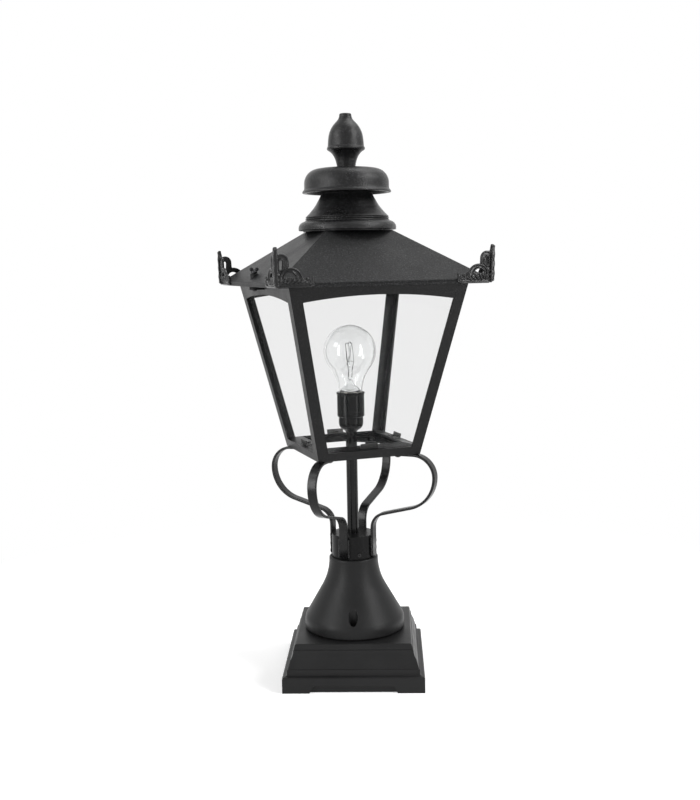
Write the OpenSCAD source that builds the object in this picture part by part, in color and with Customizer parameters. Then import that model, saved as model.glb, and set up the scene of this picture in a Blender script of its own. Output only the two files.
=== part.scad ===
// Pedestal lantern: a square tapered lantern on four scrolled straps, standing on a round bell and
// a square stepped plinth. Millimetres, Z up, the origin in the middle of the plinth's underside.
// The front of the plinth faces -Y. The head is drawn about the same axis and then turned by
// head_turn, as it is set by hand on the spigot of the bell before the grub screws are nipped up.

/* [Plinth] */
// width across the bottom of the plinth
plinth_w = 160; // [140:1:200]
// width across the top of the plinth
plinth_top_w = 132; // [126:1:136]
// height of the plinth
plinth_h = 52; // [48:1:70]
// wall of the plinth casting
plinth_wall = 8; // [6:0.5:9]
// height of the plain band round the bottom
fascia_h = 17; // [15:0.5:20]
// length of each corner foot along a side
foot_w = 30; // [20:1:40]
// height of the relief between the feet
foot_h = 8; // [4:0.5:10]
// depth of the relief between the feet
foot_set = 4; // [2:0.5:5]
// bore for the cable in the top of the plinth
cable_bore = 20; // [12:1:26]

/* [Bell] */
// diameter of the bell at its foot
bell_foot_d = 116.6; // [112:0.2:120]
// diameter of the bell at its top
bell_top_d = 57; // [54:0.5:62]
// rounding of the bell's top edge
bell_lip = 2; // [1:0.25:3]
// height of the bell
bell_h = 85; // [80:1:110]
// diameter of the cavity at the foot of the bell
bell_cavity_d = 82; // [70:1:84]
// diameter of the bore up through the top of the bell
bell_bore = 30; // [24:1:32]
// diameter of the spigot that carries the collar
spigot_d = 42; // [40:0.5:44]
// height of the spigot
spigot_h = 18; // [12:1:20]
// radius of the circle of screws in the foot of the bell
bell_screw_r = 51; // [48:0.5:52]
// thread diameter of the screws in the foot of the bell
bell_screw_d = 5; // [4:0.5:6]
// counterbore for their heads
bell_cbore_d = 10.4; // [9.5:0.1:11]

/* [Collar and pole] */
// outer diameter of the collar
collar_d = 50; // [48:0.5:54]
// height of the collar
collar_h = 27; // [24:1:34]
// thickness of the disc that closes the collar
collar_disc = 6; // [4:0.5:7]
// diameter of the pole
pole_d = 13; // [12:0.5:16]
// wall of the pole
pole_wall = 1.5; // [1:0.25:2.5]
// thread diameter of the grub screws
grub_d = 4; // [3:0.5:5]
// angle at which the head is set on the bell
head_turn = 22; // [-45:1:45]

/* [Arms] */
// height of the lantern's underside above the top of the bell
arm_rise = 125; // [110:1:150]
// width of the straps
arm_w = 10.5; // [8:0.5:12]
// thickness of the straps
arm_t = 3; // [2:0.5:4]
// reach of the straps from the axis to their outermost point
arm_reach = 104; // [100:1:112]
// radius of the upper bend
arm_bend_top = 24.5; // [20:0.5:30]
// radius of the lower bend
arm_bend_low = 38; // [32:0.5:42]
// radius of the bend above the collar
arm_bend_in = 18; // [12:0.5:22]
// steepness of the strap between the two lower bends
arm_fall = 15; // [5:1:25]
// distance from the axis to the inner end of the straps
arm_inner = 50; // [48:1:56]
// thread diameter of the bolts through the straps
arm_bolt_d = 5; // [4:0.5:6]

/* [Lantern frame] */
// width across the bottom of the frame
frame_w = 120; // [114:1:130]
// width across the top of the frame
frame_top_w = 202; // [190:1:206]
// height of the frame
frame_h = 190.5; // [180:0.5:230]
// thickness of the rolled angle
frame_t = 2; // [1.5:0.25:2.5]
// width of each leg of a corner post
post_leg = 12.5; // [10:0.5:16]
// height of the face of the bottom rail
rail_face = 9.5; // [8:0.5:12]
// width of the ledge inside the bottom rail
ledge_w = 15; // [12:0.5:17]
// depth of a top rail at its middle
top_rail_h = 9; // [7:0.5:12]
// rise of the arch under a top rail
arch_rise = 6.5; // [3:0.5:10]
// width of the flange on top of a top rail
flange_w = 12; // [9:0.5:14]
// thickness of the glass
glass_t = 3; // [2:0.5:4]
// how far the glass stops short of the frame's corners
glass_inset = 7.5; // [7:0.25:9]

/* [Glass clips] */
// length of a clip along the ledge
clip_l = 20; // [14:1:26]
// thickness of a clip
clip_t = 1.2; // [0.8:0.1:1.6]
// height of the tab that presses on the glass
clip_h = 6; // [4:0.5:9]

/* [Lamp] */
// diameter of the bulb
bulb_d = 60; // [56:0.5:64]
// height of the bulb above the rim of the holder
bulb_h = 77; // [72:0.5:84]
// diameter of the bulb's neck
bulb_neck_d = 27; // [26.6:0.2:28]
// thickness of the bulb's glass
bulb_wall = 0.8; // [0.6:0.1:1.2]
// width of the filament's cage
cage_d = 9.2; // [8:0.1:12]
// height of the filament's cage
cage_h = 22; // [18:1:26]
// diameter of the bulb's screw cap
cap_d = 26; // [25.5:0.1:26.2]
// diameter of the lamp holder
holder_d = 31.4; // [31:0.2:34]
// height of the holder's body
holder_h = 29; // [27:0.5:34]
// height of the rounded cap under the holder
holder_cap_h = 15; // [12:0.5:18]
// length of pole between the collar and the holder
pole_l = 120; // [110:1:140]

/* [Roof] */
// how far the eaves stand out beyond the frame
eave_over = 17; // [15:0.5:24]
// height of the lip round the eaves
lip_h = 5.8; // [5:0.1:8]
// set-back of the lip under the bead
lip_set = 0.7; // [0.4:0.1:1]
// radius of the bead along the top of the lip
bead_r = 1.5; // [1.2:0.1:2]
// width across the flat top of the roof
roof_top_w = 77.6; // [76:0.2:80]
// rise of the roof from the lip to its flat top
roof_rise = 53.4; // [46:0.2:60]
// thickness of the roof sheet
roof_t = 1.8; // [1.2:0.1:2.4]
// gap between the roof and the frame it closes on
seat_gap = 0.3; // [0.3:0.1:0.6]
// hole in the flat top for the draught
vent_d = 56; // [40:1:58]

/* [Chimney] */
// diameter over the ring at the foot of the cowl
ring_d = 110; // [109.8:0.2:114]
// thickness of the ring
ring_h = 10; // [8:0.5:12]
// diameter of the cowl above the ring
cowl_d = 93.5; // [92:0.5:96]
// diameter of the cowl's neck
neck_d = 57.2; // [54:0.2:62]
// height of the cowl
cowl_h = 43; // [40:1:52]
// wall of the cowl
cowl_wall = 2.5; // [2:0.25:3]
// depth of the two grooves over the ring
groove = 0.9; // [0.5:0.1:1.2]

/* [Rain cap and finial] */
// diameter of the rain cap over its lip
cap_lip_d = 99.8; // [96:0.2:104]
// diameter of the rain cap above its lip
cap_body_d = 95.2; // [92:0.2:96]
// height of the lip
cap_lip_h = 4.6; // [3:0.2:6]
// height of the rain cap
cap_h = 28; // [26:0.5:34]
// wall of the rain cap
cap_wall = 2.5; // [2:0.25:3]
// diameter of the finial's stem
stem_d = 20.5; // [18:0.5:23]
// diameter of the finial's ring
fin_ring_d = 42.6; // [40:0.2:46]
// diameter of the acorn
acorn_d = 40; // [36:0.5:41]
// height of the finial
finial_h = 59; // [58:0.5:64]
// diameter of the tie rod
rod_d = 6; // [5:0.5:8]

/* [Corner leaves] */
// height of a leaf casting
leaf_h = 41.5; // [40:0.5:46]
// length of each wing along the eave
leaf_l = 43; // [42:0.5:48]
// thickness of a wing
leaf_t = 2.6; // [2:0.2:3]
// height of the raised rims and beads on a wing
leaf_rim = 1; // [0.6:0.1:1.2]
// how far the spine stands out beyond each eave
leaf_over = 4; // [3.5:0.25:4.5]
// outward lean of the leaves in degrees
leaf_lean = 1.5; // [0:0.5:7]

/* [Hinge and thumb screw] */
// diameter of the hinge pins
pin_d = 3; // [2.5:0.25:3.5]
// diameter of the hinge knuckles
knuckle_d = 6; // [5.5:0.25:6.5]
// distance of each hinge from the middle of the side
hinge_at = 55; // [40:1:65]
// length of a hinge
hinge_l = 30; // [24:1:40]
// angle of the thumb screw's wings
thumb_turn = 20; // [0:1:180]
// diameter of the thumb screw
thumb_d = 4.8; // [4:0.2:6]
// distance of the thumb screw from the edge of the eave
thumb_in = 8; // [7:0.5:9]
// thickness of the lug that the thumb screw enters
lug_t = 3; // [2.5:0.25:4]

/* [Hidden] */
fn = 64;
run_gap = 0.04;
pin_gap = 0.05;
turn_gap = 0.3;
knuckle_gap = 0.4;
hinge_t = 1.5;

z_bell = plinth_h;
z_collar = z_bell + bell_h;
z_disc = z_collar + collar_h - collar_disc;
z_pole = z_collar + collar_h;
z_frame = z_collar + arm_rise;
z_frame_top = z_frame + frame_h;
z_holder = z_pole + pole_l;
z_rim = z_holder + holder_cap_h + 1.8 + holder_h;
z_roof = z_frame_top + seat_gap;
z_lip = z_roof + lip_h;
z_top = z_lip + roof_rise;
z_neck = z_top + cowl_h;
z_cap = z_neck - 0.5;
z_finial = z_cap + cap_h;

hb = frame_w / 2;
ht = frame_top_w / 2;
k = (ht - hb) / frame_h;
tilt = atan(k);
wall = frame_t / cos(tilt);
he = ht + eave_over;
pitch = atan(roof_rise / (he - roof_top_w / 2));
z_post = z_frame + rail_face;
z_flange = z_frame_top - frame_t;
v_ledge = rail_face / cos(tilt) - frame_t * tan(tilt);

flat_r = sqrt(pow(collar_d / 2, 2) - pow(arm_w / 2, 2));
post_names = [180 + 45, -45, 45, 135];

hinge_x = face_half(z_frame_top - knuckle_d / 2) + knuckle_d / 2 + hinge_t + knuckle_gap;
hinge_z = z_frame_top - knuckle_d / 2 - 0.3;
thumb_x = he - thumb_in;

// half width of the frame's outer faces at a height
function face_half(z) = hb + k * (z - z_frame);

// half width of the roof's outer faces at a height
function roof_half(z) = he - (z - z_lip) / tan(pitch);

// points along an arc
function arc(cx, cy, r, a0, a1, n = 8) =
  [for (i = [0:n]) [cx + r * cos(a0 + (a1 - a0) * i / n), cy + r * sin(a0 + (a1 - a0) * i / n)]];

// a profile in Y and Z, drawn along X
module along_x(p) rotate([90, 0, 90]) linear_extrude(height = 600, center = true) polygon(p);

// a profile in X and Z, drawn along Y
module along_y(p) rotate([90, 0, 0]) linear_extrude(height = 600, center = true) polygon(p);

// a square solid with the same moulded profile on all four sides, mitred at the corners
module moulded(p) {
  q = concat(p, [for (i = [len(p) - 1:-1:0]) [-p[i][0], p[i][1]]]);
  intersection() {
    along_x(q);
    along_y(q);
  }
}

// a square frustum from half width h0 at z0 to half width h1 at z1
module frustum(z0, h0, z1, h1) moulded([[h0, z0], [h1, z1]]);

// the quarter of space round the +X side, cut at the mitres
module side_wedge() linear_extrude(height = 1000) polygon([[0, 0], [300, -300], [300, 300]]);

// puts a child drawn on the +X face, U along Y, V up the slope and W outward, in its place
module on_face() translate([hb, 0, z_frame]) rotate([0, tilt, 0]) children();

// turns a child of the head to where the head is set
module head() rotate([0, 0, head_turn]) children();

// a revolved profile with its foot at z
module turned(z, p) translate([0, 0, z]) rotate_extrude($fn = fn) polygon(p);

module tube(z, h, d, bore) translate([0, 0, z]) difference() {
  cylinder(h = h, d = d, $fn = fn);
  translate([0, 0, -1]) cylinder(h = h + 2, d = bore, $fn = fn);
}

// Square stepped casting. The mouldings run up from the plain band: a cove, a fillet, a longer
// hollow and a small rounded cornice. It is open underneath and stands on its four corner feet.
module plinth() color("#2b2c2d") {
  b = plinth_w / 2;
  t = plinth_top_w / 2;
  mould = concat([[b, 0], [b, fascia_h], [b - 1.5, fascia_h + 1.2]],
    arc(b - 1.5, fascia_h + 7.2, 6, -90, -130, 4), [[b - 5.5, fascia_h + 8.5], [b - 6.6, fascia_h + 8.5]],
    arc(b + 5.4, plinth_h - 6.5, b + 5.4 - t - 1.6, -145, -180, 6),
    [[t + 0.6, plinth_h - 6.5], [t + 0.6, plinth_h - 4.5]], arc(t - 2, plinth_h - 2, 2, 0, 90, 4));
  difference() {
    moulded(mould);
    // hollow underside, in two steps
    translate([0, 0, -1]) linear_extrude(height = fascia_h) square(plinth_w - 2 * plinth_wall - 4, center = true);
    linear_extrude(height = plinth_h - plinth_wall) square(plinth_top_w - 2 * plinth_wall - 4, center = true);
    // relief between the feet, with sloped ends
    for (a = [0, 90]) rotate([0, 0, a]) for (s = [-1, 1]) scale([1, s, 1]) {
      w = b - foot_w;
      translate([0, -b - 1, 0]) rotate([-90, 0, 0])
        linear_extrude(height = foot_set + 1) polygon([[-w, 1], [w, 1], [w - 5, -foot_h], [5 - w, -foot_h]]);
    }
    // cable bore and the tapped holes for the bell's screws
    translate([0, 0, plinth_h / 2]) cylinder(h = plinth_h, d = cable_bore, $fn = fn);
    for (a = [-90, 30, 150]) rotate([0, 0, a]) translate([bell_screw_r, 0, plinth_h / 2])
      cylinder(h = plinth_h, d = bell_screw_d, $fn = fn);
  }
}

// Round cast bell. A short straight foot turns in to a long concave flare, and the spigot on top
// takes the collar.
module bell() color("#2c2d2e") {
  f = bell_foot_d / 2;
  t = bell_top_d / 2;
  // the flare turns through 30 degrees, runs straight and turns back over the foot
  rf = 12;
  hf = 10;
  za = bell_h - bell_lip;
  ra = (f - t - rf * (1 - cos(30)) - (za - hf - rf * sin(30)) * tan(30)) / (1 - cos(30) - sin(30) * tan(30));
  difference() {
    turned(z_bell, concat([[0, 0], [f - 1.5, 0], [f, 2]], arc(f - rf, hf, rf, 0, 30, 5),
      arc(t + ra, za, ra, 210, 180, 9), arc(t - bell_lip, bell_h - bell_lip, bell_lip, 0, 90, 4), [
      [spigot_d / 2, bell_h], [spigot_d / 2, bell_h + spigot_h - 1], [spigot_d / 2 - 1, bell_h + spigot_h],
      [0, bell_h + spigot_h]]));
    turned(z_bell, [[0, -1], [bell_cavity_d / 2, -1], [bell_cavity_d / 2, hf], [bell_bore / 2 + 3, za - 18],
      [bell_bore / 2, za], [0, za]]);
    translate([0, 0, z_bell]) cylinder(h = bell_h + spigot_h + 1, d = bell_bore, $fn = fn);
    for (a = [-90, 30, 150]) rotate([0, 0, a]) translate([bell_screw_r, 0, z_bell]) {
      translate([0, 0, -1]) cylinder(h = 20, d = bell_screw_d + 0.6, $fn = fn);
      translate([0, 0, 8]) cylinder(h = bell_h, d = bell_cbore_d, $fn = fn);
    }
  }
}

// Socket cap screws down through the foot of the bell into the plinth.
module bell_screws() color("#9a9b98") for (a = [-90, 30, 150])
  rotate([0, 0, a]) translate([bell_screw_r, 0, z_bell]) difference() {
    union() {
      translate([0, 0, -plinth_wall]) cylinder(h = plinth_wall + 9, d = bell_screw_d, $fn = fn);
      translate([0, 0, 8]) cylinder(h = bell_screw_d, d = bell_screw_d * 1.7, $fn = fn);
    }
    translate([0, 0, 8 + bell_screw_d / 2]) cylinder(h = 5, d = bell_screw_d * 0.9, $fn = 6);
  }

// Turned cup over the spigot, with four milled flats for the straps.
module collar() color("#232425") difference() {
  translate([0, 0, z_collar + turn_gap]) cylinder(h = collar_h - turn_gap, d = collar_d, $fn = fn);
  translate([0, 0, z_collar - 1]) cylinder(h = collar_h - collar_disc + 1, d = spigot_d + 2 * run_gap, $fn = fn);
  translate([0, 0, z_collar]) cylinder(h = collar_h + 1, d = pole_d, $fn = fn);
  for (a = [45, 135, 225, 315]) rotate([0, 0, a]) translate([flat_r, -arm_w / 2 - 1, z_collar])
    cube([5, arm_w + 2, collar_h + 1]);
  for (a = [-94, 86]) rotate([0, 0, a]) translate([0, 0, z_collar + 5.5]) rotate([0, 90, 0])
    cylinder(h = collar_d, d = grub_d, $fn = fn);
}

// Cup-point grub screws through the wall of the collar.
module grub_screws() color("#a2a3a0") for (a = [-94, 86]) rotate([0, 0, a])
  translate([spigot_d / 2 + turn_gap, 0, z_collar + 5.5]) rotate([0, 90, 0]) difference() {
    cylinder(h = (collar_d - spigot_d) / 2 + 0.5, d = grub_d, $fn = fn);
    translate([0, 0, 1.5]) cylinder(h = collar_d, d = grub_d / 2, $fn = 6);
  }

// Steel tube from inside the collar to the lamp holder. The cable runs inside it.
module pole() color("#1d1e1f")
  tube(z_disc - 10, z_holder + 4 - z_disc + 10, pole_d, pole_d - 2 * pole_wall);

// Flat nut that draws the pole up against the disc of the collar.
module pole_nut() color("#6d6e6c") translate([0, 0, z_disc - 5]) difference() {
  cylinder(h = 5, d = pole_d + 8, $fn = 6);
  translate([0, 0, -1]) cylinder(h = 7, d = pole_d, $fn = fn);
}

// Scrolled flat strap: out under the frame, round, in and down, and then down the collar.
module arm() color("#262728") {
  zc = z_frame - arm_t / 2;
  rc = arm_reach - arm_t / 2;
  c1 = [rc - arm_bend_top, zc - arm_bend_top];
  c2 = [rc - arm_bend_low, zc - arm_bend_top];
  a2 = 90 - arm_fall;
  p2 = [c2[0] + arm_bend_low * cos(a2), c2[1] - arm_bend_low * sin(a2)];
  r4 = flat_r + arm_t / 2;
  c3x = r4 + arm_bend_in;
  p3x = c3x - arm_bend_in * sin(arm_fall);
  l = (p2[0] - p3x) / cos(arm_fall);
  c3z = p2[1] - l * sin(arm_fall) - arm_bend_in * cos(arm_fall);
  face = [for (d = [arm_t / 2, -arm_t / 2]) concat([[arm_inner, zc + d]], arc(c1[0], c1[1], arm_bend_top + d, 90, 0, 20),
    arc(c2[0], c2[1], arm_bend_low + d, -4, -a2, 17), arc(c3x, c3z, arm_bend_in - d, 90 + arm_fall, 180, 10),
    [[r4 + d, z_collar + 1]])];
  difference() {
    rotate([90, 0, 0]) translate([0, 0, -arm_w / 2]) linear_extrude(height = arm_w)
      polygon(concat(face[0], [for (k = [len(face[1]) - 1:-1:0]) face[1][k]]));
    translate([arm_inner + 8, 0, zc - 5]) cylinder(h = 10, d = arm_bolt_d, $fn = fn);
  }
}
module arm_at(a) head() rotate([0, 0, a]) arm();
module arm_front() arm_at(post_names[0]);
module arm_right() arm_at(post_names[1]);
module arm_back() arm_at(post_names[2]);
module arm_left() arm_at(post_names[3]);

// Domed bolts up through the straps and the corner gussets, each with its nut.
module arm_bolts() color("#3a3b3b") for (a = post_names) rotate([0, 0, a])
  translate([arm_inner + 8, 0, z_frame - arm_t]) {
    cylinder(h = arm_t + frame_t + 5, d = arm_bolt_d, $fn = fn);
    intersection() {
      translate([0, 0, arm_bolt_d * 0.55]) sphere(d = arm_bolt_d * 2.1, $fn = fn);
      translate([0, 0, -9]) cylinder(h = 9, d = arm_bolt_d * 1.8, $fn = fn);
    }
    translate([0, 0, arm_t + frame_t]) cylinder(h = 4, d = arm_bolt_d * 1.8, $fn = 6);
  }

// Mitred ring of rolled angle: a face leg in the plane of the glass and a ledge along its top, square
// to the glass, that the panes stand on. A gusset plate closes each corner underneath.
module bottom_frame() color("#2a2b2c") {
  u = [sin(tilt), cos(tilt)];
  n = [-cos(tilt), sin(tilt)];
  a = [face_half(z_post) - wall, z_post];
  e = a + ledge_w * n;
  low = a - frame_t * u;
  o = hb + wall + frame_h / 8;
  over = [[-o, e[1] + 5], [-o, z_post], [-a[0], z_post], [-e[0], e[1]], [e[0], e[1]],
    [a[0], z_post], [o, z_post], [o, e[1] + 5]];
  difference() {
    frustum(z_frame, hb, e[1], face_half(e[1]));
    along_x(over);
    along_y(over);
    translate([0, 0, z_frame - 1]) linear_extrude(height = frame_h) square(2 * e[0], center = true);
    moulded([[face_half(z_frame - 1) - wall, z_frame - 1], low, low + (ledge_w + 1) * n]);
  }
  difference() {
    intersection() {
      frustum(z_frame, hb - frame_t / 2, z_frame + frame_t, face_half(z_frame + frame_t) - frame_t / 2);
      for (d = post_names) rotate([0, 0, d]) translate([arm_inner, -hb, z_frame])
        cube([frame_w, frame_w, frame_t]);
    }
    for (d = post_names) rotate([0, 0, d]) translate([arm_inner + 8, 0, z_frame - 5])
      cylinder(h = 20, d = arm_bolt_d, $fn = fn);
  }
}

// the opening between two posts, seen square on, from z0 to z1
function opening(z0, z1) = let (a = face_half(z0) - post_leg, b = face_half(z1) - post_leg)
  [[-a, z0], [a, z0], [b, z1], [-b, z1]];

// the sheet of all four faces between two heights
module shell(z0, z1) difference() {
  frustum(z0, face_half(z0), z1, face_half(z1));
  frustum(z0 - 1, face_half(z0 - 1) - wall, z1 + 1, face_half(z1 + 1) - wall);
}

// Rolled angle at a corner, standing on the bottom frame and ending under the top rails' flanges.
module post_at(a) color("#2a2b2c") head() rotate([0, 0, a - 45]) intersection() {
  difference() {
    shell(z_post, z_flange);
    along_x(opening(z_post - 1, z_flange + 1));
    along_y(opening(z_post - 1, z_flange + 1));
  }
  cube([300, 300, 900]);
}
module post_front() post_at(post_names[0]);
module post_right() post_at(post_names[1]);
module post_back() post_at(post_names[2]);
module post_left() post_at(post_names[3]);

// Top rail: an arched face between two posts and a flange over their ends, mitred at the corners.
module top_rail_at(a) color("#2a2b2c") head() rotate([0, 0, a]) {
  zl = z_frame_top - top_rail_h - arch_rise;
  c = face_half(zl) - post_leg;
  rr = (c * c + arch_rise * arch_rise) / (2 * arch_rise);
  f1 = face_half(z_frame_top);
  difference() {
    intersection() {
      shell(zl, z_flange);
      along_x(opening(zl, z_flange));
      translate([0, -300, 0]) cube([300, 600, 900]);
    }
    translate([0, 0, z_frame_top - top_rail_h - rr]) rotate([0, 90, 0]) cylinder(h = 300, r = rr, $fn = 360);
  }
  intersection() {
    along_y([[face_half(z_flange), z_flange], [f1, z_frame_top], [f1 - flange_w, z_frame_top], [f1 - flange_w, z_flange]]);
    side_wedge();
  }
}
module top_rail_front() top_rail_at(-90);
module top_rail_right() top_rail_at(0);
module top_rail_back() top_rail_at(90);
module top_rail_left() top_rail_at(180);

// Tapered pane behind the posts and the top rail, standing on the ledge.
module glass_at(a) color("#dfe6e8", 0.35) head() rotate([0, 0, a]) on_face() {
  v1 = (z_flange - 1.5 - z_frame) / cos(tilt);
  h0 = hb + k * rail_face - glass_inset;
  h1 = hb + k * v1 * cos(tilt) - glass_inset;
  translate([-frame_t - glass_t, 0, 0]) rotate([90, 0, 90]) linear_extrude(height = glass_t)
    polygon([[-h0, v_ledge], [h0, v_ledge], [h1, v1], [-h1, v1]]);
}
module glass_front() glass_at(-90);
module glass_right() glass_at(0);
module glass_back() glass_at(90);
module glass_left() glass_at(180);

// Bent tabs on the ledge, one behind the foot of each pane.
module glass_clips() color("#8d8f8c") for (a = [0, 90, 180, 270]) rotate([0, 0, a]) on_face()
  translate([-frame_t - glass_t, 0, v_ledge]) difference() {
    union() {
      translate([-8, -clip_l / 2, 0]) cube([8, clip_l, clip_t]);
      translate([-clip_t, -clip_l / 2, 0]) cube([clip_t, clip_l, clip_h]);
    }
    translate([-5, 0, -1]) cylinder(h = 9, d = 3, $fn = fn);
  }

// Pan-headed screws through the clips into the ledge.
module clip_screws() color("#3c3d3d") for (a = [0, 90, 180, 270]) rotate([0, 0, a]) on_face()
  translate([-frame_t - glass_t - 5, 0, v_ledge + clip_t]) difference() {
    union() {
      cylinder(h = 1.6, d = 5.4, $fn = fn);
      translate([0, 0, -clip_t]) cylinder(h = clip_t, d = 3, $fn = fn);
    }
    translate([-3, -0.4, 1]) cube([6, 0.8, 2]);
  }

// Glossy moulded body of the lamp holder, with a rolled rim.
module holder_body() color("#121313") {
  r = holder_d / 2;
  z0 = z_rim - holder_h;
  turned(z0, concat([[r - 4, 0], [r - 1.2, 0], [r, 1.2]], [[r, holder_h - 3]],
    arc(r - 0.6, holder_h - 1.4, 1.4, -65, 90, 5), [[r - 2, holder_h], [r - 2, 2], [r - 4, 2]]));
}

// Rounded cap under the holder, on the end of the pole.
module holder_cap() color("#121313") {
  r = holder_d / 2 - 1.5;
  h = holder_cap_h + 1.8;
  difference() {
    turned(z_holder, concat([[0, 0], [pole_d / 2 + 0.5, 0]], arc(r - 9, 10, 9, -70, 0, 6),
      [[r, h - 1.8], [r - 1, h - 1], [r - 1, h], [0, h]]));
    turned(z_holder, [[0, 6], [pole_d / 2 - 1, 6], [r - 3.5, 11], [r - 3.5, h + 1], [0, h + 1]]);
    translate([0, 0, z_holder - 1]) cylinder(h = 5, d = pole_d, $fn = fn);
    translate([0, 0, z_holder - 1]) cylinder(h = 9, d = pole_d - 2 * pole_wall, $fn = fn);
  }
}

// Ceramic insert with the brass screw shell and the centre contact.
module holder_core() color("#d8d4c8") {
  r = holder_d / 2 - 2;
  rs = cap_d / 2 + 0.25;
  z0 = z_rim - holder_h + 2;
  turned(z0, [[0, 0], [r, 0], [r, 4], [rs + 0.4, 4], [rs + 0.4, 20], [rs, 20], [rs, 4], [3, 4], [3, 5], [0, 5]]);
}

// Screw cap of the bulb, with its insulator and contact.
module lamp_cap() color("#b9b6ab") {
  r = cap_d / 2;
  z0 = z_rim - holder_h + 7;
  h = z_rim + 0.5 - z0;
  turned(z0, concat([[0, 0], [4, 0], [4.4, 1], [9, 3.5], [r - 0.9, 4.5]],
    [for (i = [0:4]) each [[r, 6 + i * 3], [r - 0.9, 7.5 + i * 3]]],
    [[r, 20.2], [r, h], [r - 0.8, h], [r - 0.8, 20], [r - 1.8, 6], [0, 5]]));
}

// Clear pear-shaped bulb: a sphere above, turned back through a concave neck.
function bulb_line(rb, rn, z0) = let (a = 38, rc = (rb * cos(a) - rn) / (1 - cos(a)), zc = bulb_h - bulb_d / 2,
  zn = zc - rb * sin(a) - rc * sin(a))
  concat([[rn, z0]], arc(rn + rc, max(zn, z0 + 0.1), rc, 180, 180 - a, 7), arc(0, zc, rb, 4 - a, 90, 12));
module bulb_glass() color("#eef2f2", 0.25) {
  rb = bulb_d / 2;
  rn = bulb_neck_d / 2;
  difference() {
    turned(z_rim, concat([[0, 0.5]], bulb_line(rb, rn, 0.5)));
    turned(z_rim, concat([[0, 0.4]], bulb_line(rb - bulb_wall, rn - bulb_wall, 0.4)));
  }
}

// Pressed glass stem: a flare sealed in the neck and a solid rod up the middle.
module bulb_stem() color("#e8eeee", 0.4) {
  rn = bulb_neck_d / 2 - bulb_wall;
  turned(z_rim, concat([[0, 14]], [[rn, 0.6], [rn, 1.6]], arc(12, 14, 8, -130, -180, 5),
    [[2.2, 24], [1.6, 26], [1.6, 52], [2.4, 54], [2.4, 56], [1.6, 58], [0, 58]]));
}

// Filament: a cage of wires on spokes, three at its foot and three at its top, and two leads that
// rise from the press. The wires end a hair off the glass, where the real ones are sealed in it.
module filament() color("#7d7a72") {
  z0 = z_rim + 34;
  for (i = [0:5]) rotate([0, 0, i * 60]) {
    r0 = i % 2 == 0 ? 2.5 : 1.7;
    translate([cage_d / 2, 0, z0]) cylinder(h = cage_h, d = 0.4, $fn = 16);
    translate([r0, 0, i % 2 == 0 ? z0 + cage_h - 0.6 : z0 + 0.4]) rotate([0, 90, 0])
      cylinder(h = cage_d / 2 - r0, d = 0.5, $fn = 16);
  }
  for (a = [180, 300]) rotate([0, 0, a]) translate([2.6, 0, z_rim + 24.2]) cylinder(h = 10.6, d = 0.6, $fn = 16);
}

// the roof's outer form: a vertical lip, a bead along the top of it, and the four slopes
module roof_block() moulded(concat([[he - lip_set, z_roof]],
  arc(he - bead_r, z_lip - bead_r, bead_r, -58, 90 - pitch, 6), [[roof_top_w / 2, z_top]]));

// Folded sheet roof with a lip at the eaves, a flat return that seats on the frame, a flat top
// with the draught hole and a bush that the thumb screw turns in.
module roof() color("#303132") {
  tv = roof_t / cos(pitch);
  zi = z_top - roof_t;
  difference() {
    roof_block();
    intersection() {
      frustum(z_roof + roof_t, roof_half(z_roof + roof_t + tv), zi, roof_half(zi + tv));
      linear_extrude(height = 900) square(2 * (he - lip_set - roof_t), center = true);
    }
    translate([0, 0, z_roof - 1]) linear_extrude(height = roof_t + 2)
      square(frame_top_w - 2 * flange_w + 2, center = true);
    translate([0, 0, z_top - 9]) cylinder(h = 10, d = vent_d, $fn = fn);
    translate([-thumb_x, 0, z_roof - 1]) cylinder(h = 30, d = thumb_d + 2 * pin_gap, $fn = fn);
    for (a = post_names) rotate([0, 0, a]) translate([38, 0, z_top - 9]) cylinder(h = 10, d = 4, $fn = fn);
  }
  translate([-thumb_x, 0, z_roof]) difference() {
    cylinder(h = lip_h + thumb_in * tan(pitch) + 3, d = thumb_d + 4, $fn = fn);
    translate([0, 0, -1]) cylinder(h = 30, d = thumb_d + 2 * pin_gap, $fn = fn);
  }
}

// a point of a wing moved with its lean: S from the spine inward, T up from the foot of the lip
function leant(q) = [q[0] - q[1] * sin(leaf_lean), q[1]];

// a round of the wing at a leant place
module round_at(q, r) translate(leant(q)) circle(r = r, $fn = fn);

// Outline of one wing of a corner leaf: a spear on the spine, a tall lobe beside it, a low wide
// arch, and a foot that ends in a curl.
module leaf_outline() {
  lt = leaf_h - 14.4;
  le = leaf_l - 43;
  polygon([for (q = [[0, 3.6], [0, leaf_h - 2], [0.9, leaf_h - 0.3], [1.9, leaf_h], [3, leaf_h - 0.9],
    [4.8, leaf_h - 3.8], [6.2, leaf_h - 7.5], [6.2, 4], [1.8, 2.4]]) leant(q)]);
  round_at([9.3, lt], 7.2);
  polygon([for (q = [[4, 8], [16.5, 8], [16.5, lt], [4, lt]]) leant(q)]);
  intersection() {
    round_at([18.5, 8.5], 12.3);
    translate([1, 0]) square([41, 30]);
  }
  translate([1.8, 0]) square([leaf_l - 4.8, 5.6]);
  polygon([for (q = [[28, 5], [28, 15.5], [31.2, 10.8], [34, 7.6], [36, 7], [36, 5]]) leant(q)]);
  polygon([for (q = [[34, 3], [35.8, 7.3], [38.6, 7], [40.3, 9.3], [41.5, 12.2], [42.9, 8.9],
    [42.7, 4.5], [40.6, 1.6], [38, 0]]) leant([q[0] + le, q[1]])]);
  round_at([35.9 + le, 8.9], 1.7);
}

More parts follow.
